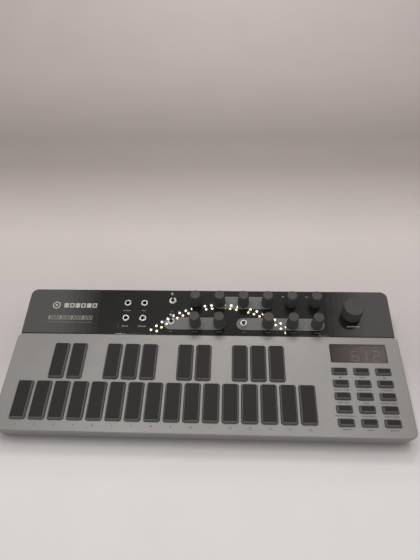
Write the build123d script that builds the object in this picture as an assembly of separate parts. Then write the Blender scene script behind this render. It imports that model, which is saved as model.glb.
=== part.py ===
"""Desktop bass synthesizer with a step sequencer, in millimetres.

+X runs to the player's right, +Y to the rear and +Z up. The origin is on the table under the middle
of the instrument. The silver deck with the pads slopes up from the front edge, and the glossy control
panel behind it slopes a little more. Most pieces are placed in the deck's or the panel's own frame,
where z = 0 is the visible surface and y runs up the slope.
"""
from build123d import *
from math import cos, radians, sin
import os

# ---- driving dimensions -------------------------------------------------------------------------
FOOT_HEIGHT = 2.5
FLOOR = 2.0
WALL = 2.0
DECK_WIDTH = 323.3
DECK_SLOPE = 86.6
DECK_TILT = 5.0
FRONT_HEIGHT = 16.0
PANEL_WIDTH = 319.6
PANEL_SLOPE = 45.3
PANEL_TILT = 9.2
PANEL_DROP = 0.4
SKIN = 2.0
SKIRT = 1.8
SKIRT_DRAFT = 2.3
SKIRT_BOTTOM = 3.4
CASE_WALL = 1.6
FRONT_CORNER = 6.5
DECK_BACK_CORNER = 5.0
PANEL_BACK_CORNER = 6.2

PAD_PITCH = 15.0
PAD_COUNT = 16
FIRST_PAD_X = -142.5
PAD_OPENING = (13.2, 32.9)
LOWER_PAD_Y = 25.55
UPPER_PAD_Y = 60.45
UPPER_PAD_SLOTS = (1, 2, 4, 5, 6, 8, 9, 11, 12, 13)
BUTTON_OPENING = (12.7, 6.7)
BUTTON_PITCH = (17.34, 10.65)
FIRST_BUTTON = (109.8, 11.85)
BUTTON_COLUMNS = 3
BUTTON_ROWS = 5
KEY_GAP = 0.35
KEY_RISE = 2.2
KEY_SIDE_HEIGHT = 1.75
KEY_EDGE = 0.25
KEY_TRAVEL = 1.0
CLEARANCE = 0.3
FLANGE = 1.2

DISPLAY_CENTRE = (127.1, 70.9)
DISPLAY_OPENING = (46.2, 17.3)

KNOB_COLUMNS = (-8.65, 12.25, 33.1, 54.0, 74.9, 95.8)
KNOB_LOW_ROW = 11.2
KNOB_TOP_ROW = 32.2
KNOB_BASE_RADIUS = 5.1
KNOB_TOP_RADIUS = 4.4
KNOB_TOP_HEIGHT = 14.2
KNOB_FLUTES = 18
LARGE_KNOB_XY = (126.4, 22.4)
LARGE_KNOB_RADIUS = 8.75
LARGE_KNOB_TOP_HEIGHT = 13.2
LARGE_KNOB_FLUTES = 36
KNOB_GAP = 0.6
SHAFT_RADIUS = 2.95
SHAFT_BOTTOM = -8.0

SOCKET_XY = ((-69.8, 31.0), (-54.8, 31.0), (-69.8, 15.8), (-54.8, 15.8))
SOCKET_BORE_RADIUS = 1.8
SOCKET_RING_RADIUS = 3.1
SOCKET_PROUD = 0.9
SOCKET_DEPTH = 12.4
REAR_SOCKET_X = (-90.0, -66.0, -42.0)
REAR_SOCKET_Z = 9.6
USB_X = -118.0
USB_Z = 9.0

TOGGLES = {"toggle_lever_rear": (-29.65, 33.6, -1), "toggle_lever_front": (-29.65, 12.6, -1),
           "toggle_lever_right": (33.3, 12.0, 1)}
TOGGLE_LEAN = 25.0
TOGGLE_PIVOT = 0.6
TOGGLE_LENGTH = 8.3

SHEET_TOP = -6.2
KEY_BOARD_TOP = -7.0
PANEL_BOARD_TOP = -12.0
BOARD = 1.6
POST_RADIUS = 2.1
DECK_POSTS = ((-153.6, 20.0), (-153.6, 70.0), (96.5, 20.0), (96.5, 70.0), (153.6, 20.0), (153.6, 57.3))
PANEL_POSTS = ((-153.5, 9.0), (-153.5, 37.5), (153.5, 9.0), (153.5, 37.5))
FEET = ((-140.0, 16.0), (140.0, 16.0), (-140.0, 115.0), (140.0, 115.0))
FOOT_RADIUS = 7.0
FOOT_RECESS = 0.5

# ---- sizes and frames that follow ----------------------------------------------------------------
SEAM_RUN = DECK_SLOPE * cos(radians(DECK_TILT))
SEAM_HEIGHT = FRONT_HEIGHT + DECK_SLOPE * sin(radians(DECK_TILT))
CASE_DEPTH = SEAM_RUN + PANEL_SLOPE * cos(radians(PANEL_TILT))
FRONT_Y = -(CASE_DEPTH + SOCKET_PROUD) / 2
REAR_Y = FRONT_Y + CASE_DEPTH
SEAM_Y = FRONT_Y + SEAM_RUN
CASE_INSET = SKIRT_DRAFT + SKIRT + 0.15
CASE_WIDTH = DECK_WIDTH - 2 * CASE_INSET
CASE_FRONT_Y = FRONT_Y + CASE_INSET
REAR_WIDTH = PANEL_WIDTH - 0.6
REAR_FRONT_Y = SEAM_Y + 0.3
FLOOR_TOP = FOOT_HEIGHT + FLOOR
BOSS_TOP = FLOOR_TOP + 3.0
TALL = 60.0


def sloped(origin_y, origin_z, tilt):
    """A frame on a surface that slopes up towards the rear."""
    normal = (0, -sin(radians(tilt)), cos(radians(tilt)))
    return Plane(origin=(0, origin_y, origin_z), x_dir=(1, 0, 0), z_dir=normal).location


DECK = sloped(FRONT_Y, FRONT_HEIGHT, DECK_TILT)
PANEL = sloped(SEAM_Y, SEAM_HEIGHT - PANEL_DROP, PANEL_TILT)


# ---- shared shapes -------------------------------------------------------------------------------
def slab(width, length, radius, low, high):
    """A rounded rectangle standing from low to high, centred on x = y = 0."""
    return Pos(0, 0, low) * extrude(RectangleRounded(width, length, radius), high - low)


def block(low, high):
    """A box from its lowest and highest corners."""
    size = [top - bottom for bottom, top in zip(low, high)]
    return Pos(*low) * Box(*size, align=(Align.MIN, Align.MIN, Align.MIN))


def rod(radius, low, high):
    """A cylinder along z from low to high."""
    return Pos(0, 0, low) * Cylinder(radius, high - low, align=(Align.CENTER, Align.CENTER, Align.MIN))


def standing_cone(bottom_radius, top_radius, height):
    """A cone cut off at the top, standing on z = 0."""
    return Cone(bottom_radius, top_radius, height, align=(Align.CENTER, Align.CENTER, Align.MIN))


def outline(width, front, rear, front_radius, rear_radius):
    """A plan outline with its own radius at the front corners and at the rear ones."""
    shape = Pos(0, (front + rear) / 2) * Rectangle(width, rear - front)
    shape = fillet(shape.vertices().group_by(Axis.Y)[0], front_radius)
    return fillet(shape.vertices().group_by(Axis.Y)[-1], rear_radius)


def between(lower, upper):
    """A straight-sided solid between two outlines."""
    return loft([lower.face(), upper.face()], ruled=True)


def join(pieces):
    """One compound of separate solids, for a node that is a group of identical pieces."""
    return Compound(children=[solid for piece in pieces for solid in piece.solids()])


def lower_pad_x():
    return [FIRST_PAD_X + PAD_PITCH * index for index in range(PAD_COUNT)]


def upper_pad_x():
    return [FIRST_PAD_X + PAD_PITCH * (slot + 0.5) for slot in UPPER_PAD_SLOTS]


def button_xy(row):
    """Centres of one row of function buttons; row 0 is nearest the player."""
    y = FIRST_BUTTON[1] + row * BUTTON_PITCH[1]
    return [(FIRST_BUTTON[0] + column * BUTTON_PITCH[0], y) for column in range(BUTTON_COLUMNS)]


def pad_xy():
    lower = [(x, LOWER_PAD_Y) for x in lower_pad_x()]
    return lower + [(x, UPPER_PAD_Y) for x in upper_pad_x()]


def all_button_xy():
    return [place for row in range(BUTTON_ROWS) for place in button_xy(row)]


def knob_xy():
    """Name and place of each small knob; the second row misses the column that holds a toggle."""
    top = [(f"knob_rear_{i + 1}", x, KNOB_TOP_ROW) for i, x in enumerate(KNOB_COLUMNS)]
    low_columns = [x for i, x in enumerate(KNOB_COLUMNS) if i != 2]
    low = [(f"knob_front_{i + 1}", x, KNOB_LOW_ROW) for i, x in enumerate(low_columns)]
    return top + low


# ---- shells --------------------------------------------------------------------------------------
def top_cover():
    """Silver deck: a sloped plate with drafted skirts at the front and sides, open towards the panel."""
    foot = outline(DECK_WIDTH - 2 * SKIRT_DRAFT, FRONT_Y + SKIRT_DRAFT, SEAM_Y,
                   FRONT_CORNER, DECK_BACK_CORNER)
    top = outline(DECK_WIDTH, 0, DECK_SLOPE, FRONT_CORNER, DECK_BACK_CORNER)
    cover = between(Pos(0, 0, SKIRT_BOTTOM) * foot, DECK * top)
    top_face = cover.faces().sort_by(Axis.Z)[-1]
    cover = fillet(top_face.outer_wire().edges(), 0.9)
    inset = SKIRT_DRAFT + SKIRT
    inner_foot = outline(DECK_WIDTH - 2 * inset, FRONT_Y + inset, SEAM_Y + 20, FRONT_CORNER - WALL, 1)
    inner_top = outline(DECK_WIDTH - 2 * WALL, WALL, DECK_SLOPE + 20, FRONT_CORNER - WALL, 1)
    cover -= between(Pos(0, 0, SKIRT_BOTTOM - 0.01) * inner_foot, DECK * Pos(0, 0, -SKIN) * inner_top)
    cutters = [DECK * Pos(x, y, 0) * slab(*PAD_OPENING, 2.2, -5, 5) for x, y in pad_xy()]
    cutters += [DECK * Pos(x, y, 0) * slab(*BUTTON_OPENING, 1.4, -5, 5) for x, y in all_button_xy()]
    cutters.append(DECK * Pos(*DISPLAY_CENTRE, 0) * slab(*DISPLAY_OPENING, 1.2, -5, 5))
    cover -= cutters
    for x, y in DECK_POSTS:
        cover += screw_post(DECK, x, y)
    for x, y in DECK_POSTS:
        cover -= pilot_hole(DECK, x, y)
    return cover


def screw_post(frame, x, y):
    """Round post that hangs from a sloped shell, straight down to its boss in the bottom case."""
    foot = frame * Pos(x, y, -SKIN)
    place = Pos(foot.position.X, foot.position.Y, 0)
    post = place * rod(POST_RADIUS, BOSS_TOP, TALL)
    return post - frame * block((-200, -60, -SKIN + 0.2), (200, 150, 100))


def pilot_hole(frame, x, y):
    foot = frame * Pos(x, y, -SKIN)
    return Pos(foot.position.X, foot.position.Y, 0) * rod(1.3, BOSS_TOP - 1, BOSS_TOP + 5.5)


def control_panel():
    """Glossy black plate with the holes for knob shafts, toggles and sockets."""
    plan = outline(PANEL_WIDTH, 0.15, PANEL_SLOPE - 0.4, 0.6, PANEL_BACK_CORNER)
    plate = Pos(0, 0, -SKIN) * extrude(plan, SKIN)
    top_face = plate.faces().sort_by(Axis.Z)[-1]
    plate = fillet(top_face.outer_wire().edges(), 0.5)
    holes = [Pos(x, y, 0) * rod(3.4, -5, 5) for _, x, y in knob_xy()]
    holes.append(Pos(*LARGE_KNOB_XY, 0) * rod(3.4, -5, 5))
    holes += [Pos(x, y, 0) * rod(SOCKET_RING_RADIUS + 0.1, -5, 5) for x, y in SOCKET_XY]
    holes += [Pos(x, y, 0) * rod(2.8, -5, 5) for x, y, _ in TOGGLES.values()]
    plate -= holes
    panel = PANEL * plate
    for x, y in PANEL_POSTS:
        panel += screw_post(PANEL, x, y)
    for x, y in PANEL_POSTS:
        panel -= pilot_hole(PANEL, x, y)
    return panel


def post_places():
    """Where each screw stands in plan."""
    frames = [(DECK, DECK_POSTS), (PANEL, PANEL_POSTS)]
    places = []
    for frame, posts in frames:
        for x, y in posts:
            top = (frame * Pos(x, y, -SKIN)).position
            places.append((top.X, top.Y))
    return places


def bottom_case():
    """Tub with the floor, side walls, rear wall, screw bosses and board pillars."""
    front = outline(CASE_WIDTH, CASE_FRONT_Y, REAR_Y - 10, FRONT_CORNER - WALL, 1)
    rear = outline(REAR_WIDTH, REAR_FRONT_Y, REAR_Y, 1, PANEL_BACK_CORNER)
    front_room = outline(CASE_WIDTH - 2 * CASE_WALL, CASE_FRONT_Y + CASE_WALL, REAR_Y - 10, 2.5, 1)
    rear_room = outline(REAR_WIDTH - 2 * WALL, REAR_FRONT_Y + WALL, REAR_Y - WALL, 1,
                        PANEL_BACK_CORNER - WALL)
    case = Pos(0, 0, FOOT_HEIGHT) * (extrude(front, TALL) + extrude(rear, TALL))
    case -= [Pos(0, 0, FLOOR_TOP) * extrude(room, TALL) for room in (front_room, rear_room)]
    case += [Pos(x, y, 0) * rod(3.6, FLOOR_TOP - 0.5, BOSS_TOP) for x, y in post_places()]
    case += board_pillars()
    case += block((USB_X - 5, REAR_Y - 9, FLOOR_TOP - 0.5), (USB_X + 5, REAR_Y - WALL + 0.5, USB_Z - 1.6))
    case -= DECK * block((-200, -50, -SKIN), (200, DECK_SLOPE, 100))
    case -= PANEL * block((-200, -1, -SKIN), (200, 80, 100))
    case -= [Pos(x, y, 0) * rod(3.0, FOOT_HEIGHT - 1, FLOOR_TOP + 1) for x, y in post_places()]
    case -= [Pos(x, y, 0) * rod(1.6, FLOOR_TOP, BOSS_TOP + 1) for x, y in post_places()]
    case -= [foot_place(x, y) * rod(FOOT_RADIUS + 0.15, 0, FOOT_HEIGHT + FOOT_RECESS) for x, y in FEET]
    case -= [rear_frame(x, REAR_SOCKET_Z) * rod(SOCKET_RING_RADIUS + 0.1, -5, 5) for x in REAR_SOCKET_X]
    case -= rear_frame(USB_X, USB_Z) * slab(9.3, 3.5, 1.6, -5, 5)
    return case


def board_pillars():
    """Pillars from the floor to the undersides of the two boards."""
    pillars = []
    key_places = [(x, y) for x in (-120, -60, 0, 60, 130) for y in (25, 62)]
    panel_places = [(x, y) for x in (-80, -20, 44, 110, 143) for y in (22,)]
    stacks = [(DECK, key_places, KEY_BOARD_TOP - BOARD), (PANEL, panel_places, PANEL_BOARD_TOP - BOARD)]
    for frame, places, level in stacks:
        above = frame * block((-200, -60, level), (200, 150, 100))
        for x, y in places:
            foot = (frame * Pos(x, y, level)).position
            pillars.append(Pos(foot.X, foot.Y, 0) * rod(3.0, FLOOR_TOP - 0.5, TALL) - above)
    return pillars


def foot_place(x, y):
    return Pos(x, FRONT_Y + y, 0)


def rear_frame(x, z):
    """A frame on the rear wall's outer face, with its z pointing out of the case."""
    return Plane(origin=(x, REAR_Y, z), x_dir=(-1, 0, 0), z_dir=(0, 1, 0)).location


def rubber_feet():
    foot = rod(FOOT_RADIUS, 0, FOOT_HEIGHT + FOOT_RECESS)
    foot = chamfer(foot.edges().sort_by(Axis.Z)[0], 0.6)
    return join([foot_place(x, y) * foot for x, y in FEET])


def case_screws():
    """Pan-head screws, up through the bosses into the posts of the shells."""
    head = rod(2.7, FLOOR_TOP + 1 - 2.0, FLOOR_TOP + 1)
    drive = Box(3.0, 0.6, 2 * FLOOR_TOP) + Box(0.6, 3.0, 2 * FLOOR_TOP)
    screw = head + rod(1.25, FLOOR_TOP + 0.5, BOSS_TOP + 5.0) - drive
    return join([Pos(x, y, 0) * screw for x, y in post_places()])


# ---- pads, buttons and what lies under them -------------------------------------------------------
def key_cap(opening, corner, side_run, flange_overhang):
    """A cap with drafted sides that stands through its opening, and a flange that holds it under the deck."""
    width = opening[0] - 2 * KEY_GAP
    length = opening[1] - 2 * KEY_GAP
    flange_top = -SKIN - CLEARANCE
    cap = slab(width, length, corner, flange_top, KEY_RISE)
    top = cap.faces().sort_by(Axis.Z)[-1]
    cap = chamfer(top.edges(), side_run, KEY_SIDE_HEIGHT, reference=top)
    cap = chamfer(cap.faces().sort_by(Axis.Z)[-1].edges(), KEY_EDGE)
    flange = slab(width + 2 * flange_overhang, length + 2 * flange_overhang, corner, flange_top - FLANGE,
                  flange_top)
    return cap + flange


def key_mat():
    """Silicone sheet on the key board, with a switch dome under each pad and button."""
    sheet = block((-151, 8, KEY_BOARD_TOP), (92.5, 80, SHEET_TOP))
    sheet += block((92, 35, KEY_BOARD_TOP), (102, 48, SHEET_TOP))
    sheet += block((101, 7.5, KEY_BOARD_TOP), (151, 60, SHEET_TOP))
    dome_top = -SKIN - CLEARANCE - FLANGE - KEY_TRAVEL - CLEARANCE
    height = dome_top - SHEET_TOP
    dome = standing_cone(3.4, 2.4, height + 0.1)
    small_dome = standing_cone(2.6, 1.9, height + 0.1)
    sheet += [Pos(x, y, SHEET_TOP - 0.1) * dome for x, y in pad_xy()]
    sheet += [Pos(x, y, SHEET_TOP - 0.1) * small_dome for x, y in all_button_xy()]
    return DECK * sheet


def key_board():
    board = block((-151.2, 7, KEY_BOARD_TOP - BOARD), (151.2, 84, KEY_BOARD_TOP))
    holes = [Pos(x, y, 0) * rod(3.2, -12, 0) for x, y in DECK_POSTS]
    return DECK * (board - holes)


# ---- display ---------------------------------------------------------------------------------------
def display_window():
    """Tinted lens in the deck's opening, held by a flange under the deck."""
    width, length = DISPLAY_OPENING
    lens = slab(width - 0.3, length - 0.3, 1.1, -SKIN - 0.5, -0.3)
    lens += slab(width + 3, length + 3, 1.5, -SKIN - 1.0, -SKIN)
    return DECK * Pos(*DISPLAY_CENTRE, 0) * lens


def display_module():
    """Seven-segment block on the key board, under the lens."""
    return DECK * Pos(*DISPLAY_CENTRE, 0) * block((-19, -6.5, KEY_BOARD_TOP), (19, 6.5, -SKIN - 1.3))


# ---- control panel pieces ---------------------------------------------------------------------------
def panel_board():
    return PANEL * block((-90, 3.5, PANEL_BOARD_TOP - BOARD), (146, 41, PANEL_BOARD_TOP))


def fluted_knob(base_radius, top_radius, top_height, flutes, flute_radius):
    """Slightly tapered knob with fluted sides, a pointer groove and its moulded shaft."""
    height = top_height - KNOB_GAP
    body = Pos(0, 0, KNOB_GAP) * standing_cone(base_radius, top_radius, height)
    body = chamfer(body.edges().sort_by(Axis.Z)[-1], 0.45)
    lean = Rot(0, -degrees_of(base_radius - top_radius, height), 0)
    groove = Pos(base_radius + flute_radius * 0.45, 0, KNOB_GAP) * lean * rod(flute_radius, -2, height + 3)
    body -= [Rot(0, 0, 360 * index / flutes) * groove for index in range(flutes)]
    body -= block((-0.35, top_radius * 0.25, top_height - 0.35), (0.35, top_radius * 0.82, top_height + 1))
    return body + rod(SHAFT_RADIUS, SHAFT_BOTTOM, KNOB_GAP + 1)


def degrees_of(rise, run):
    """Angle of a slope, in degrees."""
    return Vector(run, rise, 0).get_angle(Vector(1, 0, 0))


def potentiometers():
    """Rotary potentiometer bodies on the panel board, one under each knob."""
    body = block((-4.75, -5.5, PANEL_BOARD_TOP), (4.75, 5.5, PANEL_BOARD_TOP + 6.8))
    body += rod(3.9, PANEL_BOARD_TOP + 6.3, -SKIN - 0.6)
    body -= rod(SHAFT_RADIUS + 0.05, SHAFT_BOTTOM - 0.5, 1)
    places = [(x, y) for _, x, y in knob_xy()] + [LARGE_KNOB_XY]
    return join([PANEL * Pos(x, y, 0) * body for x, y in places])


def socket():
    """A 3.5 mm socket behind a plate: square body, round threaded neck and open barrel."""
    body = block((-5.25, -4.5, -SKIN - 10), (5.25, 4.5, -SKIN))
    body += rod(SOCKET_RING_RADIUS, -SKIN - 0.5, SOCKET_PROUD)
    body = chamfer(body.edges().filter_by(GeomType.CIRCLE).sort_by(Axis.Z)[-1], 0.3)
    return body - rod(SOCKET_BORE_RADIUS, SOCKET_PROUD - SOCKET_DEPTH, SOCKET_PROUD + 1)


def jack_sockets():
    pieces = [PANEL * Pos(x, y, 0) * Rot(0, 0, 90) * socket() for x, y in SOCKET_XY]
    pieces += [rear_frame(x, REAR_SOCKET_Z) * socket() for x in REAR_SOCKET_X]
    return join(pieces)


def toggle_switches():
    """Miniature toggle bodies, with the neck and ring nut that the levers swing in."""
    body = block((-3.5, -5, PANEL_BOARD_TOP), (3.5, 5, -SKIN))
    neck = rod(2.7, -SKIN - 0.5, TOGGLE_PIVOT + 1.0)
    nut = rod(3.2, 0, 0.95)
    body += chamfer(neck.edges().sort_by(Axis.Z)[-1], 0.4)
    body += chamfer(nut.edges().sort_by(Axis.Z)[-1], 0.3)
    body -= rod(1.6, TOGGLE_PIVOT - 2.2, TOGGLE_PIVOT)
    body -= Pos(0, 0, TOGGLE_PIVOT) * standing_cone(1.6, 1.85, 1.01)
    return join([PANEL * Pos(x, y, 0) * body for x, y, _ in TOGGLES.values()])


def toggle_lever(x, y, side):
    """Metal lever on its ball; side 1 leans it to the front and side -1 to the rear."""
    stick = standing_cone(0.75, 1.15, TOGGLE_LENGTH - 1.15)
    stick += Pos(0, 0, TOGGLE_LENGTH - 1.15) * Sphere(1.15)
    lever = stick + Sphere(1.53)
    return PANEL * Pos(x, y, TOGGLE_PIVOT) * Rot(side * TOGGLE_LEAN, 0, 0) * lever


def usb_socket():
    """Type-C receptacle: rounded shell with a tongue, open to the rear."""
    shell = slab(9.0, 3.2, 1.5, -8.0, -0.4)
    shell -= slab(8.4, 2.6, 1.25, -7.0, 1)
    tongue = block((-3.3, -0.35, -7.5), (3.3, 0.35, -1.4))
    return rear_frame(USB_X, USB_Z) * (shell + tongue)


# ---- output ------------------------------------------------------------------------------------------
def moving_pieces():
    """Every node that moves, by name."""
    pad = key_cap(PAD_OPENING, 1.8, 0.7, 0.75)
    button = key_cap(BUTTON_OPENING, 1.2, 0.8, 0.7)
    small_knob = fluted_knob(KNOB_BASE_RADIUS, KNOB_TOP_RADIUS, KNOB_TOP_HEIGHT, KNOB_FLUTES, 0.55)
    large_knob = fluted_knob(LARGE_KNOB_RADIUS, LARGE_KNOB_RADIUS - 0.1, LARGE_KNOB_TOP_HEIGHT,
                             LARGE_KNOB_FLUTES, 0.55)
    pieces = {}
    for index, x in enumerate(lower_pad_x()):
        pieces[f"lower_pad_{index + 1:02d}"] = DECK * Pos(x, LOWER_PAD_Y, 0) * pad
    for index, x in enumerate(upper_pad_x()):
        pieces[f"upper_pad_{index + 1:02d}"] = DECK * Pos(x, UPPER_PAD_Y, 0) * pad
    for row in range(BUTTON_ROWS):
        pieces[f"button_row_{row + 1}"] = join([DECK * Pos(x, y, 0) * button for x, y in button_xy(row)])
    for name, x, y in knob_xy():
        pieces[name] = PANEL * Pos(x, y, 0) * small_knob
    pieces["large_knob"] = PANEL * Pos(*LARGE_KNOB_XY, 0) * large_knob
    for name, (x, y, side) in TOGGLES.items():
        pieces[name] = toggle_lever(x, y, side)
    return pieces


def fixed_pieces():
    """Every node that stays with the case, by name."""
    makers = (top_cover, control_panel, bottom_case, rubber_feet, case_screws, key_mat, key_board,
              display_window, display_module, panel_board, potentiometers, jack_sockets,
              toggle_switches, usb_socket)
    return {maker.__name__: maker() for maker in makers}


os.makedirs("parts", exist_ok=True)
for name, shape in {**fixed_pieces(), **moving_pieces()}.items():
    export_step(shape, f"parts/{name}.step")
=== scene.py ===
"""Looks of the desktop bass synthesizer: materials, printed markings, studio light and camera.

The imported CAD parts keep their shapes. Everything added here is thin print that rides on the CAD
bodies. Sizes on the instrument are in millimetres in the deck's or the panel's own frame, where x runs
to the player's right, y up the slope and z = 0 is the visible surface. The stage is in metres.
"""

from math import cos, pi, radians, sin

import bmesh
import bpy
from mathutils import Matrix, Vector


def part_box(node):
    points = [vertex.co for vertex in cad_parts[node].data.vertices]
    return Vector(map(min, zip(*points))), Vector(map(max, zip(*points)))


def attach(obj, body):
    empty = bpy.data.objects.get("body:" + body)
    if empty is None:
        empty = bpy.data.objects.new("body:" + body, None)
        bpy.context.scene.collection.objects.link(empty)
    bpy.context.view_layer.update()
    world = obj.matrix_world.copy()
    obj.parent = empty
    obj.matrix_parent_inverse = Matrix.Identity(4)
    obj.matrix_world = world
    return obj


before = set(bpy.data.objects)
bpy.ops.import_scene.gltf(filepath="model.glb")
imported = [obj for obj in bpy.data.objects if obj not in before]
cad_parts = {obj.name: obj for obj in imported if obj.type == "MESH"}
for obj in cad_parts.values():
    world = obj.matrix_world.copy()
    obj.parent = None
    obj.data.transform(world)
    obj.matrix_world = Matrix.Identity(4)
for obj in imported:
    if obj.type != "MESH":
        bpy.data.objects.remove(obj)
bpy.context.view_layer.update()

# ---- driving dimensions, in millimetres and degrees -----------------------------------------------
MM = 0.001
DECK_TILT = 5.0
PANEL_TILT = 9.2
FRONT_HEIGHT = 16.0
DECK_SLOPE = 86.6
PANEL_SLOPE = 45.3
FOOT_HEIGHT = 2.5
PANEL_DROP = 0.4
PRINT = 0.02

# The camera's place is in the deck's frame, in millimetres; its angles are in radians.
EYE_IN_DECK = (24.425, -130.90, 363.50)
EYE_PITCH = 0.919
EYE_YAW = -0.079
EYE_ROLL = -0.055
LENS = 31.77
SENSOR = 36.0

KNOB_COLUMNS = (-8.65, 12.25, 33.1, 54.0, 74.9, 95.8)
KNOB_LOW_ROW = 11.2
KNOB_TOP_ROW = 32.2
LARGE_KNOB_XY = (126.4, 22.4)
TOGGLE_PIVOT = 0.6
TOGGLE_XY = ((-29.65, 33.6), (-29.65, 12.6), (33.3, 12.0))
SOCKET_XY = ((-69.8, 31.0), (-54.8, 31.0), (-69.8, 15.8), (-54.8, 15.8))
REAR_SOCKET_X = (-90.0, -66.0, -42.0)
REAR_SOCKET_Z = 9.6
USB_X = -118.0
FIRST_PAD_X = -142.5
PAD_PITCH = 15.0
PAD_COUNT = 16
FIRST_BUTTON = (109.8, 11.85)
BUTTON_PITCH = (17.34, 10.65)
DISPLAY_CENTRE = (127.1, 70.9)


def sloped(origin_y, origin_z, tilt):
    """A frame on a surface that slopes up towards the rear, from millimetres to the row frame."""
    place = Matrix.Translation((0, origin_y, origin_z * MM))
    return place @ Matrix.Rotation(radians(tilt), 4, "X") @ Matrix.Scale(MM, 4)


REAR_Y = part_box("bottom_case")[1].y
SEAM_Y = REAR_Y - PANEL_SLOPE * MM * cos(radians(PANEL_TILT))
FRONT_Y = SEAM_Y - DECK_SLOPE * MM * cos(radians(DECK_TILT))
SEAM_HEIGHT = FRONT_HEIGHT + DECK_SLOPE * sin(radians(DECK_TILT))
DECK = sloped(FRONT_Y, FRONT_HEIGHT, DECK_TILT)
PANEL = sloped(SEAM_Y, SEAM_HEIGHT - PANEL_DROP, PANEL_TILT)
REAR = Matrix.Translation((0, REAR_Y, 0)) @ Matrix.Rotation(pi, 4, "Z")
REAR = REAR @ Matrix.Rotation(pi / 2, 4, "X") @ Matrix.Scale(MM, 4)
UNDER = Matrix.Translation((0, 0, FOOT_HEIGHT * MM)) @ Matrix.Rotation(pi, 4, "X") @ Matrix.Scale(MM, 4)


# ---- material tools --------------------------------------------------------------------------------
def shader(name, colour, roughness, metallic=0.0, **sockets):
    """A Principled material; extra sockets are given by name with _ for spaces."""
    material = bpy.data.materials.new(name)
    material.use_nodes = True
    bsdf = material.node_tree.nodes["Principled BSDF"]
    bsdf.inputs["Base Color"].default_value = (*colour, 1)
    bsdf.inputs["Roughness"].default_value = roughness
    bsdf.inputs["Metallic"].default_value = metallic
    for socket, value in sockets.items():
        bsdf.inputs[socket.replace("_", " ")].default_value = value
    return material


def node(material, kind, **values):
    """A shader node with its inputs, or its own settings, given by name."""
    made = material.node_tree.nodes.new(kind)
    for name, value in values.items():
        if name in made.inputs:
            made.inputs[name].default_value = value
        else:
            setattr(made, name, value)
    return made


def link(material, start, end):
    """Joins an output to an input."""
    material.node_tree.links.new(start, end)


def noise(material, size_mm, detail=2.0, stretch=(1, 1, 1), rough=0.5):
    """Noise fixed to the piece, with features about size_mm across."""
    place = node(material, "ShaderNodeTexCoord")
    mapping = node(material, "ShaderNodeMapping", Scale=stretch)
    texture = node(material, "ShaderNodeTexNoise", Scale=1 / (size_mm * MM), Detail=detail, Roughness=rough)
    link(material, place.outputs["Object"], mapping.inputs["Vector"])
    link(material, mapping.outputs["Vector"], texture.inputs["Vector"])
    return texture.outputs["Fac"]


def spread(material, source, low, high, start=0.3, end=0.7):
    """Takes a noise value to the range low to high."""
    mapped = node(material, "ShaderNodeMapRange")
    mapped.inputs["From Min"].default_value = start
    mapped.inputs["From Max"].default_value = end
    mapped.inputs["To Min"].default_value = low
    mapped.inputs["To Max"].default_value = high
    link(material, source, mapped.inputs["Value"])
    return mapped.outputs["Result"]


def multiply(material, first, second):
    """The product of two varying values."""
    product = node(material, "ShaderNodeMath", operation="MULTIPLY")
    link(material, first, product.inputs[0])
    link(material, second, product.inputs[1])
    return product.outputs["Value"]


def tint(material, colour, factor):
    """Base colour is the colour times a varying factor."""
    bsdf = material.node_tree.nodes["Principled BSDF"]
    scaled = node(material, "ShaderNodeVectorMath", operation="SCALE")
    scaled.inputs[0].default_value = colour
    link(material, factor, scaled.inputs["Scale"])
    link(material, scaled.outputs["Vector"], bsdf.inputs["Base Color"])


def vary_roughness(material, factor):
    """Roughness follows a varying value."""
    link(material, factor, material.node_tree.nodes["Principled BSDF"].inputs["Roughness"])


def bump(material, height, depth_mm, strength=1.0):
    """Fine relief, depth_mm deep at full strength."""
    raised = node(material, "ShaderNodeBump", Strength=strength, Distance=depth_mm * MM)
    link(material, height, raised.inputs["Height"])
    link(material, raised.outputs["Normal"], material.node_tree.nodes["Principled BSDF"].inputs["Normal"])


# ---- materials --------------------------------------------------------------------------------------
def silver_paint():
    """Satin metallic paint: fine flake, faint mottling and a slight orange-peel."""
    colour = (0.290, 0.279, 0.271)
    material = shader("silver_paint", colour, 0.42, 0.40)
    flake = spread(material, noise(material, 0.16, 1.0), 0.93, 1.07)
    cloud = spread(material, noise(material, 22.0, 3.0), 0.97, 1.03)
    tint(material, colour, multiply(material, flake, cloud))
    vary_roughness(material, spread(material, noise(material, 1.1, 4.0), 0.38, 0.48))
    bump(material, noise(material, 0.28, 2.0), 0.010, 0.5)
    return material


def polished(name, colour):
    """Polished plastic, or print on it, under clear lacquer with faint hand smudges."""
    material = shader(name, colour, 0.22, Specular_IOR_Level=0.07, Coat_Weight=1.0, Coat_Roughness=0.012)
    tint(material, colour, spread(material, noise(material, 0.35, 3.0), 0.85, 1.2))
    vary_roughness(material, spread(material, noise(material, 14.0, 5.0, (1, 2.5, 1), 0.6), 0.16, 0.30))
    return material


def moulded(name, colour, roughness, grain_mm=0.35, depth_mm=0.02, shine=0.5):
    """Spark-textured moulded plastic."""
    material = shader(name, colour, roughness, Specular_IOR_Level=shine)
    fine = spread(material, noise(material, grain_mm, 3.0), 0.85, 1.15)
    cloud = spread(material, noise(material, 16.0, 2.0), 0.94, 1.06)
    tint(material, colour, multiply(material, fine, cloud))
    patches = noise(material, grain_mm * 4, 3.0)
    vary_roughness(material, spread(material, patches, roughness - 0.06, roughness + 0.06))
    bump(material, noise(material, grain_mm, 2.0), depth_mm, 0.6)
    return material


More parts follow.
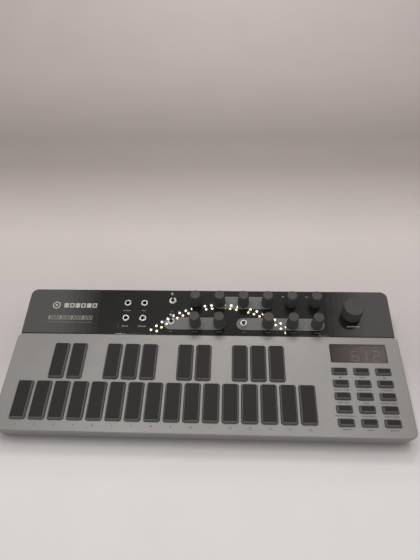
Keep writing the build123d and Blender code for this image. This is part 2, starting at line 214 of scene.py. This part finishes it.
def plated(name, colour, roughness):
    """Bright plating with fine turning marks and faint tarnish."""
    material = shader(name, colour, roughness, 1.0)
    tint(material, colour, spread(material, noise(material, 1.6, 3.0), 0.88, 1.04))
    vary_roughness(material, spread(material, noise(material, 0.5, 3.0), roughness - 0.05, roughness + 0.08))
    bump(material, noise(material, 0.25, 1.0, (1, 1, 4)), 0.004, 0.4)
    return material


def solder_mask():
    """Green board with darker copper areas under the mask."""
    colour = (0.012, 0.075, 0.035)
    material = shader("solder_mask", colour, 0.32)
    place = node(material, "ShaderNodeTexCoord")
    tracks = node(material, "ShaderNodeTexVoronoi", Scale=1 / (2.5 * MM), distance="MANHATTAN")
    link(material, place.outputs["Object"], tracks.inputs["Vector"])
    tint(material, colour, spread(material, tracks.outputs["Distance"], 0.7, 1.35, 0.35, 0.42))
    vary_roughness(material, spread(material, noise(material, 0.8, 2.0), 0.27, 0.38))
    bump(material, tracks.outputs["Distance"], 0.03, 0.3)
    return material


def milky_silicone():
    """Cloudy silicone of the key mat."""
    colour = (0.52, 0.52, 0.50)
    material = shader("milky_silicone", colour, 0.55, Subsurface_Weight=0.3, Subsurface_Scale=0.001)
    tint(material, colour, spread(material, noise(material, 3.0, 3.0), 0.92, 1.06))
    vary_roughness(material, spread(material, noise(material, 0.6, 2.0), 0.5, 0.62))
    bump(material, noise(material, 0.4, 2.0), 0.015, 0.5)
    return material


def smoked_glass():
    """Tinted acrylic of the display."""
    colour = (0.335, 0.300, 0.288)
    material = shader("smoked_glass", colour, 0.05, Transmission_Weight=0.9, IOR=1.49)
    vary_roughness(material, spread(material, noise(material, 11.0, 4.0), 0.03, 0.10))
    tint(material, colour, spread(material, noise(material, 0.6, 2.0), 0.95, 1.05))
    return material


def ink(name, colour, roughness=0.45):
    """Screen-printed ink with slightly uneven cover."""
    material = shader(name, colour, roughness)
    fine = spread(material, noise(material, 0.22, 2.0), 0.9, 1.1)
    cloud = spread(material, noise(material, 5.0, 2.0), 0.96, 1.04)
    tint(material, colour, multiply(material, fine, cloud))
    vary_roughness(material, spread(material, noise(material, 0.9, 3.0), roughness - 0.07, roughness + 0.1))
    bump(material, noise(material, 0.15, 1.0), 0.004, 0.5)
    return material


def lit_segment():
    """Display segment that is barely lit."""
    colour = (0.38, 0.15, 0.13)
    material = shader("lit_segment", colour, 0.5, Emission_Strength=0.5)
    material.node_tree.nodes["Principled BSDF"].inputs["Emission Color"].default_value = (0.9, 0.42, 0.38, 1)
    tint(material, colour, spread(material, noise(material, 0.5, 2.0), 0.9, 1.1))
    return material


MATERIALS = {
    "silver": silver_paint(),
    "panel": polished("polished_black", (0.0125, 0.0125, 0.0118)),
    "case": moulded("case_plastic", (0.030, 0.031, 0.030), 0.58),
    "rubber": moulded("foot_rubber", (0.018, 0.018, 0.018), 0.78, 0.5, 0.03),
    "steel": plated("black_zinc", (0.13, 0.13, 0.14), 0.32),
    "silicone": milky_silicone(),
    "board": solder_mask(),
    "lens": smoked_glass(),
    "display": moulded("display_block", (0.034, 0.031, 0.030), 0.5),
    "can": plated("pot_can", (0.55, 0.55, 0.55), 0.38),
    "nickel": plated("nickel_plate", (0.56, 0.55, 0.53), 0.24),
    "bright": plated("bright_nickel", (0.74, 0.72, 0.68), 0.34),
    "socket": moulded("socket_body", (0.010, 0.010, 0.010), 0.5),
    # Darker copy of the lever plating: painted shade on the lever stick.
    "lever": plated("lever_shaft_painted_shade", (0.16, 0.16, 0.155), 0.34),
    # Pad and button caps are one dark plastic; the edge and side colours are lighter copies of it, painted
    # light where light catches them.
    "pad_top": moulded("pad_top", (0.018, 0.018, 0.0165), 0.60, 0.3, 0.012, 0.3),
    "pad_edge_painted_light": moulded("pad_edge_painted_light", (0.150, 0.156, 0.155), 0.45, 0.25, 0.008, 0.4),
    "pad_side_painted_light": moulded("pad_side_painted_light", (0.150, 0.155, 0.152), 0.50, 0.3, 0.010, 0.4),
    # Knobs are one plastic in two tones by facing: the lighter side colour is painted light, and the top
    # stays darker.
    "knob_side_painted_light": moulded("knob_side_painted_light", (0.095, 0.096, 0.091), 0.55, 0.3, 0.015, 0.4),
    "knob_top": moulded("knob_top", (0.065, 0.060, 0.056), 0.52, 0.25, 0.010, 0.35),
    "band": polished("band_ink", (0.198, 0.200, 0.197)),
    "band_edge": polished("band_edge_ink", (0.26, 0.262, 0.257)),
    "light_ink": ink("light_ink", (0.20, 0.20, 0.19)),
    "faint_ink": ink("faint_ink", (0.070, 0.070, 0.067)),
    "white_ink": ink("white_ink", (0.50, 0.49, 0.45)),
    "warm_ink": ink("warm_ink", (0.30, 0.285, 0.24)),
    "dark_ink": ink("dark_ink", (0.150, 0.146, 0.140)),
    "black_ink": ink("black_ink", (0.055, 0.053, 0.050)),
    "segment": lit_segment(),
}


# ---- CAD nodes ---------------------------------------------------------------------------------------
def paint(name, *keys, choose=None):
    """Gives a CAD node its materials; choose(centre, normal) picks one for each face."""
    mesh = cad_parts[name].data
    mesh.materials.clear()
    for key in keys:
        mesh.materials.append(MATERIALS[key])
    for face in mesh.polygons:
        face.material_index = choose(face.center, face.normal) if choose else 0


# Facing limits that split caps and knobs into faces that take painted light by how they are turned.
TOP_FACING = 0.97
EDGE_FACING = 0.55
KNOB_TOP_FACING = 0.5
RING_ROOT = -0.3
SOCKET_BORE = 1.9
NECK_BORE = 1.95
NUT_ROOT = -1.9
LEVER_BALL = 1.75
LEVER_STICK = 6.2


def cap_faces(centre, normal):
    """Top, edge or drafted side of a pad or button; the edge and side get lighter copies of the dark cap
    colour as painted light, picked by how each face is turned.
    """
    up = normal.dot(DECK_NORMAL)
    if up > TOP_FACING:
        return 0
    return 1 if up > EDGE_FACING else 2


def knob_faces(centre, normal):
    """Top face and its bevel, or the side, of a knob; the side takes the lighter colour, painted light on the
    knob's flank.
    """
    return 0 if normal.dot(PANEL_NORMAL) > KNOB_TOP_FACING else 1


def off_axis(point, places):
    """Distance from the nearest of the places, in the plane of the frame."""
    return min((point.xy - Vector(place)).length for place in places)


def socket_faces(centre, normal):
    """Plated ring above the panel or outside the rear wall, black plastic everywhere else."""
    front = PANEL_INVERSE @ centre
    back = REAR_INVERSE @ centre
    front_ring = front.z > RING_ROOT and off_axis(front, SOCKET_XY) > SOCKET_BORE
    back_ring = back.z > RING_ROOT and off_axis(back, REAR_SOCKETS) > SOCKET_BORE
    return 0 if front_ring or back_ring else 1


def switch_faces(centre, normal):
    """Plated neck and nut above the panel; the bore inside the neck is painted black as painted shade, and
    the switch body below the nut is black.
    """
    point = PANEL_INVERSE @ centre
    bore = off_axis(point, TOGGLE_XY) < NECK_BORE and point.z < NECK_TOP - 0.05
    return 1 if bore or point.z < NUT_ROOT else 0


def lever_faces(centre, normal):
    """Rounded tip, stick or ball of a toggle lever: the stick takes a darker copy of the plating as painted
    shade, and the ball down in the bore is painted black as painted shade.
    """
    point = PANEL_INVERSE @ centre
    reach = min((point - Vector((x, y, TOGGLE_PIVOT))).length for x, y in TOGGLE_XY)
    if reach > LEVER_STICK:
        return 0
    return 1 if reach > LEVER_BALL else 2


DECK_NORMAL = (DECK.to_3x3() @ Vector((0, 0, 1))).normalized()
PANEL_NORMAL = (PANEL.to_3x3() @ Vector((0, 0, 1))).normalized()
PANEL_INVERSE = PANEL.inverted()
REAR_INVERSE = REAR.inverted()
REAR_SOCKETS = [(-x, REAR_SOCKET_Z) for x in REAR_SOCKET_X]
NECK_TOP = TOGGLE_PIVOT + 1.0


def paint_cad():
    """Materials of every CAD node."""
    whole = {"top_cover": "silver", "control_panel": "panel", "bottom_case": "case", "rubber_feet": "rubber",
             "case_screws": "steel", "key_mat": "silicone", "key_board": "board", "panel_board": "board",
             "display_window": "lens", "display_module": "display", "potentiometers": "can",
             "usb_socket": "nickel"}
    for name, key in whole.items():
        paint(name, key)
    paint("jack_sockets", "nickel", "socket", choose=socket_faces)
    paint("toggle_switches", "bright", "socket", choose=switch_faces)
    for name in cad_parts:
        if "pad_" in name or name.startswith("button_row"):
            paint(name, "pad_top", "pad_edge_painted_light", "pad_side_painted_light", choose=cap_faces)
        elif "knob" in name:
            paint(name, "knob_top", "knob_side_painted_light", choose=knob_faces)
        elif name.startswith("toggle_lever"):
            # The right lever's tip, which leans towards the front, gets the darker plating as a painted dark
            # reflection.
            tip = "lever" if name == "toggle_lever_right" else "bright"
            paint(name, tip, "lever", "socket", choose=lever_faces)


# ---- printed shapes ------------------------------------------------------------------------------------
def circle(x, y, radius, count=40):
    """A circle as a closed outline."""
    angles = [2 * pi * i / count for i in range(count)]
    return [(x + radius * cos(a), y + radius * sin(a)) for a in angles]


def arc(x, y, radius, start, end, count=10):
    """Points along an arc, from the start angle to the end angle."""
    angles = [radians(start + (end - start) * i / count) for i in range(count + 1)]
    return [(x + radius * cos(a), y + radius * sin(a)) for a in angles]


def rounded(left, right, bottom, top, radius):
    """Rounded rectangle as a closed outline."""
    points = arc(right - radius, top - radius, radius, 0, 90)
    points += arc(left + radius, top - radius, radius, 90, 180)
    points += arc(left + radius, bottom + radius, radius, 180, 270)
    return points + arc(right - radius, bottom + radius, radius, 270, 360)


def ribbon(points, width):
    """An open line of points as a closed outline of that width."""
    left, right = [], []
    for i, (x, y) in enumerate(points):
        before = Vector(points[max(i - 1, 0)])
        after = Vector(points[min(i + 1, len(points) - 1)])
        along = (after - before).normalized()
        side = Vector((-along.y, along.x)) * width / 2
        left.append((x + side.x, y + side.y))
        right.append((x - side.x, y - side.y))
    return left + right[::-1]


def flat_mesh(outlines, thickness=PRINT):
    """A thin solid filled inside the outlines, an outline inside another being a hole."""
    curve = bpy.data.curves.new("outline", "CURVE")
    curve.dimensions = "2D"
    curve.fill_mode = "BOTH"
    curve.extrude = thickness
    for points in outlines:
        spline = curve.splines.new("POLY")
        spline.points.add(len(points) - 1)
        for point, (x, y) in zip(spline.points, points):
            point.co = (x, y, 0, 1)
        spline.use_cyclic_u = True
    return curve_mesh(curve)


def curve_mesh(curve):
    """The mesh that a curve or text makes."""
    holder = bpy.data.objects.new("holder", curve)
    bpy.context.scene.collection.objects.link(holder)
    bpy.context.view_layer.update()
    mesh = bpy.data.meshes.new_from_object(holder.evaluated_get(bpy.context.evaluated_depsgraph_get()))
    bpy.data.objects.remove(holder)
    return mesh


def text_mesh(text, size, x, y, thickness=PRINT):
    """A number, centred on x and y."""
    font = bpy.data.curves.new("number", "FONT")
    font.body = text
    font.size = size
    font.align_x = "CENTER"
    font.align_y = "CENTER"
    font.extrude = thickness
    font.resolution_u = 3
    mesh = curve_mesh(font)
    mesh.transform(Matrix.Translation((x, y, 0)))
    return mesh


def add_piece(name, place, meshes, material, body, height=0.0):
    """Joins the meshes into one piece in the given frame, riding on a body."""
    built = bmesh.new()
    for mesh in meshes:
        built.from_mesh(mesh)
        bpy.data.meshes.remove(mesh)
    bmesh.ops.remove_doubles(built, verts=built.verts, dist=0.0005)
    bmesh.ops.recalc_face_normals(built, faces=built.faces)
    bmesh.ops.translate(built, verts=built.verts, vec=(0, 0, height))
    bmesh.ops.transform(built, verts=built.verts, matrix=place)
    mesh = bpy.data.meshes.new(name)
    built.to_mesh(mesh)
    built.free()
    mesh.materials.append(MATERIALS[material])
    piece = bpy.data.objects.new(name, mesh)
    bpy.context.scene.collection.objects.link(piece)
    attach(piece, body)
    return piece


# ---- control panel print ---------------------------------------------------------------------------------
BANDS = ((7.3, 58.7, 26.6, 38.2), (-35.5, 17.1, 5.8, 16.8), (27.6, 102.0, 6.0, 16.7))
BAND_CORNER = 5.4
BAND_EDGE = 0.35
SHAFT_HOLE = 3.5
NECK_HOLE = 3.3
EMBLEM_XY = (-134.0, 28.2)
EMBLEM_RADII = (3.6, 2.6, 1.2)
BLOCK_START = -127.0
BLOCK_PITCH = 5.1
BLOCK_COUNT = 6
STEP_START = -138.9
STEP_PITCH = 2.5
STEP_COUNT = 16
TOGGLE_X = TOGGLE_XY[0][0]
TOGGLE_MARKS = (19.4, 23.0, 39.2)
LOW_LABEL_Y = 3.4
TOP_LABEL_Y = 40.6


def inside(x, y, band):
    """Whether a point lies in a band."""
    left, right, bottom, top = band
    return left < x < right and bottom < y < top


def panel_bands():
    """Grey bands that group the knobs, open round every shaft and neck, with a fine light outline."""
    knobs = [(x, y) for x in KNOB_COLUMNS for y in (KNOB_LOW_ROW, KNOB_TOP_ROW)]
    knobs.remove((KNOB_COLUMNS[2], KNOB_LOW_ROW))
    outlines, edges = [], []
    for band in BANDS:
        left, right, bottom, top = band
        outlines.append(rounded(*band, BAND_CORNER))
        outlines += [circle(x, y, SHAFT_HOLE) for x, y in knobs if inside(x, y, band)]
        outlines += [circle(x, y, NECK_HOLE) for x, y in TOGGLE_XY if inside(x, y, band)]
        edges.append(rounded(left - BAND_EDGE, right + BAND_EDGE, bottom - BAND_EDGE, top + BAND_EDGE,
                             BAND_CORNER + BAND_EDGE))
        edges.append(rounded(*band, BAND_CORNER))
    add_piece("panel_bands", PANEL, [flat_mesh(outlines)], "band", "case")
    add_piece("panel_band_edges", PANEL, [flat_mesh(edges)], "band_edge", "case")


def dashes(x, y, widths, height, gap=0.5):
    """A row of small bars centred on x, in place of a printed word."""
    total = sum(widths) + gap * (len(widths) - 1)
    start = x - total / 2
    bars = []
    for width in widths:
        bars.append(rounded(start, start + width, y - height / 2, y + height / 2, height * 0.25))
        start += width + gap
    return bars


def panel_emblem():
    """Generic decoration in the corner: a ring and dot, six plain blocks and a row of sixteen steps."""
    ring = [circle(*EMBLEM_XY, radius) for radius in EMBLEM_RADII]
    blocks = []
    for index in range(BLOCK_COUNT):
        left = BLOCK_START + BLOCK_PITCH * index
        blocks.append(rounded(left, left + 4.1, 25.8, 30.4, 0.6))
        if index % 2:
            blocks.append(rounded(left + 1.1, left + 3.0, 26.9, 29.3, 0.3))
    add_piece("panel_emblem", PANEL, [flat_mesh(ring), flat_mesh(blocks)], "white_ink", "case")
    steps = []
    for index in range(STEP_COUNT):
        left = STEP_START + STEP_PITCH * index
        steps.append(rounded(left, left + 1.7, 13.6, 17.8, 0.3))
        if index % 4:
            steps.append(rounded(left + 0.4, left + 1.3, 14.0, 17.4, 0.2))
    line = [rounded(-139.2, -99.6, 11.1, 11.35, 0.1)]
    add_piece("panel_steps", PANEL, [flat_mesh(steps), flat_mesh(line)], "warm_ink", "case")


def panel_labels():
    """Short bars in place of words, at the sockets, toggles and knobs."""
    left_x, right_x = SOCKET_XY[0][0], SOCKET_XY[1][0]
    bars = dashes(left_x, 23.4, (2.2, 1.4, 1.8), 0.9) + dashes(right_x, 23.4, (1.6, 1.2), 0.9)
    bars += dashes(left_x, 7.9, (2.6, 2.4), 1.1) + dashes(right_x, 7.9, (3.4, 3.0), 1.1)
    bars += [rounded(x - 7.8, x - 5.4, 38.6, 39.5, 0.3) for x in KNOB_COLUMNS[4:]]
    add_piece("panel_labels", PANEL, [flat_mesh(bars)], "light_ink", "case")
    faint = [ribbon([(-74.6, 9.8), (-76.2, 9.8), (-76.2, 6.0), (-74.6, 6.0)], 0.25)]
    faint += dashes(TOGGLE_X, LOW_LABEL_Y, (2.6,), 0.9)
    faint += dashes(TOGGLE_XY[2][0], LOW_LABEL_Y, (2.2,), 0.9)
    for column in (0, 1, 3, 4, 5):
        faint += dashes(KNOB_COLUMNS[column], LOW_LABEL_Y, (2.0, 2.4), 0.9)
    for column in (0, 1, 2, 3):
        faint += dashes(KNOB_COLUMNS[column], TOP_LABEL_Y, (2.0, 1.6), 0.8)
    for level in TOGGLE_MARKS:
        faint += dashes(TOGGLE_X, level, (2.2,), 0.9)
    add_piece("panel_faint_labels", PANEL, [flat_mesh(faint)], "faint_ink", "case")
    x = LARGE_KNOB_XY[0]
    bar = [rounded(x - 5.4, x + 5.6, 9.4, 10.5, 0.4)]
    add_piece("large_knob_label", PANEL, [flat_mesh(bar)], "band_edge", "case")


# ---- deck print ----------------------------------------------------------------------------------------
NUMBER_SIZE = 2.8
NUMBER_Y = 5.6
LEGEND_DROP = 5.35
LEGEND_HEIGHT = 0.85
DIGIT_DEPTH = -3.30
DIGIT_DROP = 1.2


def deck_numbers():
    """The numbers 1 to 16 below the lower pads."""
    places = [FIRST_PAD_X + PAD_PITCH * index for index in range(PAD_COUNT)]
    meshes = [text_mesh(str(index + 1), NUMBER_SIZE, x, NUMBER_Y) for index, x in enumerate(places)]
    add_piece("pad_numbers", DECK, meshes, "black_ink", "case")


def button_legends():
    """Short bars under the buttons, and an arrow under the first and last of the rear row."""
    widths = (((3.6, 2.2), (4.5,), (3.8, 2.0)), ((7.6, 6.9), (4.0, 4.5), (5.6, 4.9)),
              ((4.4, 4.1), (5.0,), (7.2, 5.8)), ((6.2, 5.3), (5.8, 4.7), (5.0, 4.0)))
    bars = []
    for row, row_widths in enumerate(widths):
        y = FIRST_BUTTON[1] + row * BUTTON_PITCH[1] - LEGEND_DROP
        for column, parts in enumerate(row_widths):
            bars += dashes(FIRST_BUTTON[0] + column * BUTTON_PITCH[0], y, parts, LEGEND_HEIGHT)
    y = FIRST_BUTTON[1] + 4 * BUTTON_PITCH[1] - LEGEND_DROP
    bars += dashes(FIRST_BUTTON[0] + BUTTON_PITCH[0], y, (4.0,), LEGEND_HEIGHT)
    left, right = FIRST_BUTTON[0], FIRST_BUTTON[0] + 2 * BUTTON_PITCH[0]
    add_piece("button_legends", DECK, [flat_mesh(bars)], "dark_ink", "case")
    arrows = [[(left - 1.3, y), (left + 0.8, y - 1.0), (left + 0.8, y + 1.0)],
              [(right + 1.3, y), (right - 0.8, y + 1.0), (right - 0.8, y - 1.0)]]
    add_piece("button_arrows", DECK, [flat_mesh(arrows)], "black_ink", "case")


def segments(x, y, lit, width=5.2, height=9.0, bar=0.75):
    """The lit bars of one seven-segment digit."""
    half, mid = width / 2, height / 2
    places = {"a": (0, mid, True), "g": (0, 0, True), "d": (0, -mid, True), "f": (-half, mid / 2, False),
              "b": (half, mid / 2, False), "e": (-half, -mid / 2, False), "c": (half, -mid / 2, False)}
    shapes = []
    for name in lit:
        dx, dy, across = places[name]
        long, wide = (half - 0.6, bar / 2) if across else (bar / 2, mid / 2 - 0.6)
        shapes.append(rounded(x + dx - long, x + dx + long, y + dy - wide, y + dy + wide, 0.25))
    return shapes


def display_digits():
    """Three faint digits on the module behind the lens."""
    y = DISPLAY_CENTRE[1] - DIGIT_DROP
    bars = []
    for offset, lit in ((-2.4, "afgcde"), (4.4, "bc"), (15.0, "abged")):
        bars += segments(DISPLAY_CENTRE[0] + offset, y, lit)
    add_piece("display_digits", DECK, [flat_mesh(bars)], "segment", "case", DIGIT_DEPTH)


# ---- rear and underside ------------------------------------------------------------------------------------
REAR_MARK_SIZE = 2.4
REAR_MARK_Z = REAR_SOCKET_Z + 5.2


def rear_marks():
    """Generic marks above the rear sockets: numbers for the sockets, two bars for the power inlet."""
    meshes = [text_mesh(str(i + 1), REAR_MARK_SIZE, -x, REAR_MARK_Z) for i, x in enumerate(REAR_SOCKET_X)]
    meshes.append(flat_mesh(dashes(-USB_X, REAR_MARK_Z, (3.4, 1.2), 0.7)))
    add_piece("rear_marks", REAR, meshes, "light_ink", "case")


def rating_plate():
    """Blank label on the underside."""
    plate = [rounded(-32, 32, -14, 14, 2.0)]
    add_piece("blank_label", UNDER, [flat_mesh(plate, 0.05)], "light_ink", "case")
    frame_lines = [rounded(-30.5, 30.5, -12.5, 12.5, 1.2), rounded(-30.2, 30.2, -12.2, 12.2, 1.0)]
    add_piece("blank_label_border", UNDER, [flat_mesh(frame_lines)], "dark_ink", "case", 0.05)


# ---- stage, in metres and watts --------------------------------------------------------------------------
# Painted shade on the paper: colour stops along y, in metres, that darken the floor beside and behind the
# instrument.
PAPER_START = -0.2
PAPER_PAINTED_SHADE = ((-0.10, (0.91, 0.905, 0.90)), (0.01, (0.65, 0.605, 0.60)), (0.17, (0.72, 0.655, 0.64)),
         (0.30, (0.39, 0.342, 0.328)), (0.37, (0.355, 0.312, 0.298)), (0.53, (0.515, 0.458, 0.442)),
         (0.70, (0.60, 0.535, 0.525)))
WHITE = (0.92, 0.95, 1.0)
WARM = (1.0, 0.78, 0.46)
NEUTRAL = (1.0, 0.985, 0.97)
FABRIC = (1.0, 0.94, 0.89)
LAMP_HEIGHT = 1.0
RING_X = -0.012
DIODE_RINGS = ((0.304, 0.118, WHITE), (0.279, 0.133, WARM))
DIODE_ARC = (47.5, 132.5)
DIODES = 24
DIODE_SIZE = 0.007
DIODE_POWER = 0.005
SOFT_RADIUS = 0.29
SOFT_Y = 0.125
SOFT_ARC = (155, 385)
SOFT_SOURCES = 36
SOFT_SIZE = 0.034
SOFT_POWER = 0.109
CARD_Y = 0.40
CARD_DEPTH = 0.20
CARD_FADE = 0.10
FADE_STRIPS = 6
LEFT_CARD = (-0.75, -0.48, 1.45)
RIGHT_CARD = (0.72, 0.40, 1.3)
SIDE_PLACE = (0.62, 0.10, 0.35)
SIDE_SIZE = (0.6, 0.8)
SIDE_LEVEL = 0.45
FRONT_PLACE = (0, -0.75, 0.22)
FRONT_SIZE = (1.4, 0.4)
FRONT_LEVEL = 0.6
REAR_SOFT_PLACE = (0.05, 0.675, LAMP_HEIGHT)
REAR_SOFT_SIZE = (0.55, 0.30)
REAR_SOFT_POWER = 3.4
SURROUNDINGS = (1.0, 0.975, 0.96)
SURROUNDINGS_LEVEL = 0.25


def floor_material():
    """Paper with a painted shade gradient: palest in front, darker beside and behind the instrument, and
    lighter again up the backdrop.
    """
    material = shader("paper_sweep_painted_shade", PAPER_PAINTED_SHADE[0][1], 0.5)
    place = node(material, "ShaderNodeTexCoord")
    split = node(material, "ShaderNodeSeparateXYZ")
    link(material, place.outputs["Object"], split.inputs["Vector"])
    behind_start = node(material, "ShaderNodeMath", operation="SUBTRACT")
    behind_start.inputs[1].default_value = PAPER_START
    link(material, split.outputs["Y"], behind_start.inputs[0])
    painted_shade_grade = node(material, "ShaderNodeValToRGB")
    stops = painted_shade_grade.color_ramp.elements
    stops.remove(stops[1])
    stops[0].color = (*PAPER_PAINTED_SHADE[0][1], 1)
    for place_y, colour in PAPER_PAINTED_SHADE:
        stops.new(place_y - PAPER_START).color = (*colour, 1)
    link(material, behind_start.outputs["Value"], painted_shade_grade.inputs["Fac"])
    cloud = node(material, "ShaderNodeVectorMath", operation="SCALE")
    link(material, painted_shade_grade.outputs["Color"], cloud.inputs[0])
    link(material, spread(material, noise(material, 60.0, 3.0), 0.985, 1.015), cloud.inputs["Scale"])
    link(material, cloud.outputs["Vector"], material.node_tree.nodes["Principled BSDF"].inputs["Base Color"])
    vary_roughness(material, spread(material, noise(material, 8.0, 3.0), 0.44, 0.56))
    bump(material, noise(material, 0.6, 2.0), 0.01, 0.3)
    return material


def sweep():
    """Pale floor that curves up into a backdrop."""
    radius, start, top, half = 0.70, 0.40, 1.9, 2.6
    bend = [radians(a) for a in range(5, 91, 5)]
    profile = [(-2.4, 0.0), (start, 0.0)]
    profile += [(start + radius * sin(a), radius - radius * cos(a)) for a in bend]
    profile.append((start + radius, top))
    built = bmesh.new()
    rows = [[built.verts.new((x, y, z)) for x in (-half, half)] for y, z in profile]
    for low, high in zip(rows, rows[1:]):
        built.faces.new((low[0], low[1], high[1], high[0])).smooth = True
    mesh = bpy.data.meshes.new("floor_sweep")
    built.to_mesh(mesh)
    built.free()
    mesh.materials.append(floor_material())
    floor = bpy.data.objects.new("floor_sweep", mesh)
    bpy.context.scene.collection.objects.link(floor)


def lamp(name, place, size, power, colour, shape="RECTANGLE", turn=(0, 0)):
    """Area light that faces straight down, or turned about the x and y axes by so many degrees."""
    light = bpy.data.lights.new(name, "AREA")
    light.shape = shape
    light.size, light.size_y = size
    light.energy = power
    light.color = colour
    holder = bpy.data.objects.new(name, light)
    holder.location = place
    holder.rotation_euler = (radians(turn[0]), radians(turn[1]), 0)
    bpy.context.scene.collection.objects.link(holder)


def card_power(size, level):
    """Power that makes an area light of that size as bright as the level."""
    return level * pi * size[0] * size[1]


def around(arc_ends, count):
    """Evenly spaced angles from one end of an arc to the other."""
    start, end = arc_ends
    return [radians(start + (end - start) * index / (count - 1)) for index in range(count)]


def ring_lamp():
    """Overhead ring: diodes along its rear arc, soft sources round the rest, weaker in front."""
    for radius, centre_y, colour in DIODE_RINGS:
        for angle in around(DIODE_ARC, DIODES):
            place = (RING_X + radius * cos(angle), centre_y + radius * sin(angle), LAMP_HEIGHT)
            lamp("diode", place, (DIODE_SIZE, DIODE_SIZE), DIODE_POWER, colour, "DISK")
    for angle in around(SOFT_ARC, SOFT_SOURCES):
        place = (RING_X + SOFT_RADIUS * cos(angle), SOFT_Y + SOFT_RADIUS * sin(angle), LAMP_HEIGHT)
        power = SOFT_POWER * (1 + 0.80 * sin(angle) - 0.22 * cos(angle))
        lamp("soft", place, (SOFT_SIZE, SOFT_SIZE), power, NEUTRAL, "DISK")


def strip(left, right, level):
    """Part of an overhead card, as bright as its level."""
    size = (abs(right - left), CARD_DEPTH)
    lamp("card", ((left + right) / 2, CARD_Y, LAMP_HEIGHT), size, card_power(size, level), FABRIC)


def card(outer, inner, level):
    """Overhead card at one side that fades out towards the middle; level is how bright it is."""
    strip(outer, inner, level)
    step = CARD_FADE / FADE_STRIPS * (1 if inner < 0 else -1)
    for index in range(FADE_STRIPS):
        fade = 1 - (index + 1) / (FADE_STRIPS + 1)
        strip(inner + index * step, inner + (index + 1) * step, level * fade)


def studio():
    """Dim surroundings, the ring lamp, overhead cards at the sides and low cards round the front."""
    world = bpy.data.worlds.new("studio")
    world.use_nodes = True
    surroundings = world.node_tree.nodes["Background"]
    surroundings.inputs["Color"].default_value = (*SURROUNDINGS, 1)
    surroundings.inputs["Strength"].default_value = SURROUNDINGS_LEVEL
    bpy.context.scene.world = world
    ring_lamp()
    lamp("rear_soft", REAR_SOFT_PLACE, REAR_SOFT_SIZE, REAR_SOFT_POWER, NEUTRAL)
    card(*LEFT_CARD)
    card(*RIGHT_CARD)
    side_power = card_power(SIDE_SIZE, SIDE_LEVEL)
    for side in (-1, 1):
        place = (SIDE_PLACE[0] * side, SIDE_PLACE[1], SIDE_PLACE[2])
        lamp("side_card", place, SIDE_SIZE, side_power, NEUTRAL, turn=(0, 90 * side))
    lamp("front_card", FRONT_PLACE, FRONT_SIZE, card_power(FRONT_SIZE, FRONT_LEVEL), NEUTRAL, turn=(90, 0))


def camera():
    """Camera that looks down at the instrument from the front, with no shift or depth of field."""
    cos_p, sin_p = cos(EYE_PITCH), sin(EYE_PITCH)
    ahead = Vector((sin(EYE_YAW) * cos_p, cos(EYE_YAW) * cos_p, -sin_p))
    level = Vector((cos(EYE_YAW), -sin(EYE_YAW), 0))
    above = level.cross(ahead)
    right = level * cos(EYE_ROLL) + above * sin(EYE_ROLL)
    up = above * cos(EYE_ROLL) - level * sin(EYE_ROLL)
    turn = Matrix((right, up, -ahead)).transposed()
    deck_turn = Matrix.Rotation(radians(DECK_TILT), 3, "X")
    lens = bpy.data.cameras.new("camera")
    lens.lens = LENS
    lens.sensor_width = SENSOR
    lens.sensor_fit = "AUTO"
    lens.clip_start = 0.01
    holder = bpy.data.objects.new("camera", lens)
    holder.matrix_world = Matrix.Translation(DECK @ Vector(EYE_IN_DECK)) @ (deck_turn @ turn).to_4x4()
    bpy.context.scene.collection.objects.link(holder)
    bpy.context.scene.camera = holder
    bpy.context.scene.view_settings.view_transform = "Standard"


paint_cad()
panel_bands()
panel_emblem()
panel_labels()
deck_numbers()
button_legends()
display_digits()
rear_marks()
rating_plate()
sweep()
studio()
camera()
